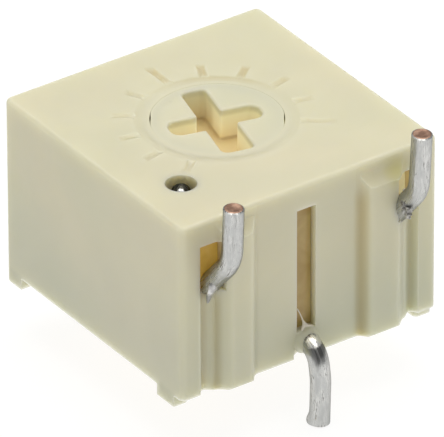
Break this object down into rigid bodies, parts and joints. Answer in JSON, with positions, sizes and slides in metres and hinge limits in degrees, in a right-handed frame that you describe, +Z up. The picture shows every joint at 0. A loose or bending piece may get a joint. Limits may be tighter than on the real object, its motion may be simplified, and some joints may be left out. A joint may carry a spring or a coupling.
{
  "type": "trimmer potentiometer",
  "caption": "Square single-turn cermet trimmer potentiometer with a cross-slotted rotor in its top face and round wire leads bent from one side.",
  "frame": {"origin": "on the rotor's axis, in the plane under the four feet, which is the plane of the board that the trimmer stands on", "axes": "+Z up along the rotor's axis, out of the adjusting face; -Y out of the face that the leads leave; +X from lead 1 to lead 3"},
  "size_m": [0.007, 0.008, 0.0068],
  "materials": {
    "housing_plastic": "cream moulded thermoplastic, slightly translucent, fine matt",
    "rotor_plastic": "cream moulded thermoplastic, slightly translucent",
    "seal_rubber": "dark silicone rubber",
    "spring_alloy": "rolled spring sheet",
    "alumina": "fired white ceramic",
    "cermet": "fired resistive film, satin",
    "silver_film": "fired silver palladium film",
    "tinned_copper": "tinned wire, drawn, lightly scratched, copper at the cut ends",
    "solder": "wetted solder",
    "amber_resin": "cured amber potting resin"
  },
  "bodies": {
    "case": {"housing": "housing_plastic", "o_ring": "seal_rubber", "substrate": "alumina", "resistive_track": "cermet", "collector_film": "silver_film", "end_pad_1": "silver_film", "end_pad_3": "silver_film", "lead_1": "tinned_copper", "lead_2": "tinned_copper", "lead_3": "tinned_copper", "solder_1": "solder", "solder_2": "solder", "solder_3": "solder", "resin_seal": "amber_resin"},
    "rotor": {"rotor": "rotor_plastic", "wiper": "spring_alloy"}
  },
  "joints": [
    {"name": "rotor_turn", "type": "hinge", "parent": "case", "child": "rotor", "pos_m": [0, 0, 0.004], "axis": [0, 0, 1], "range_deg": [-121, 149]}
  ]
}
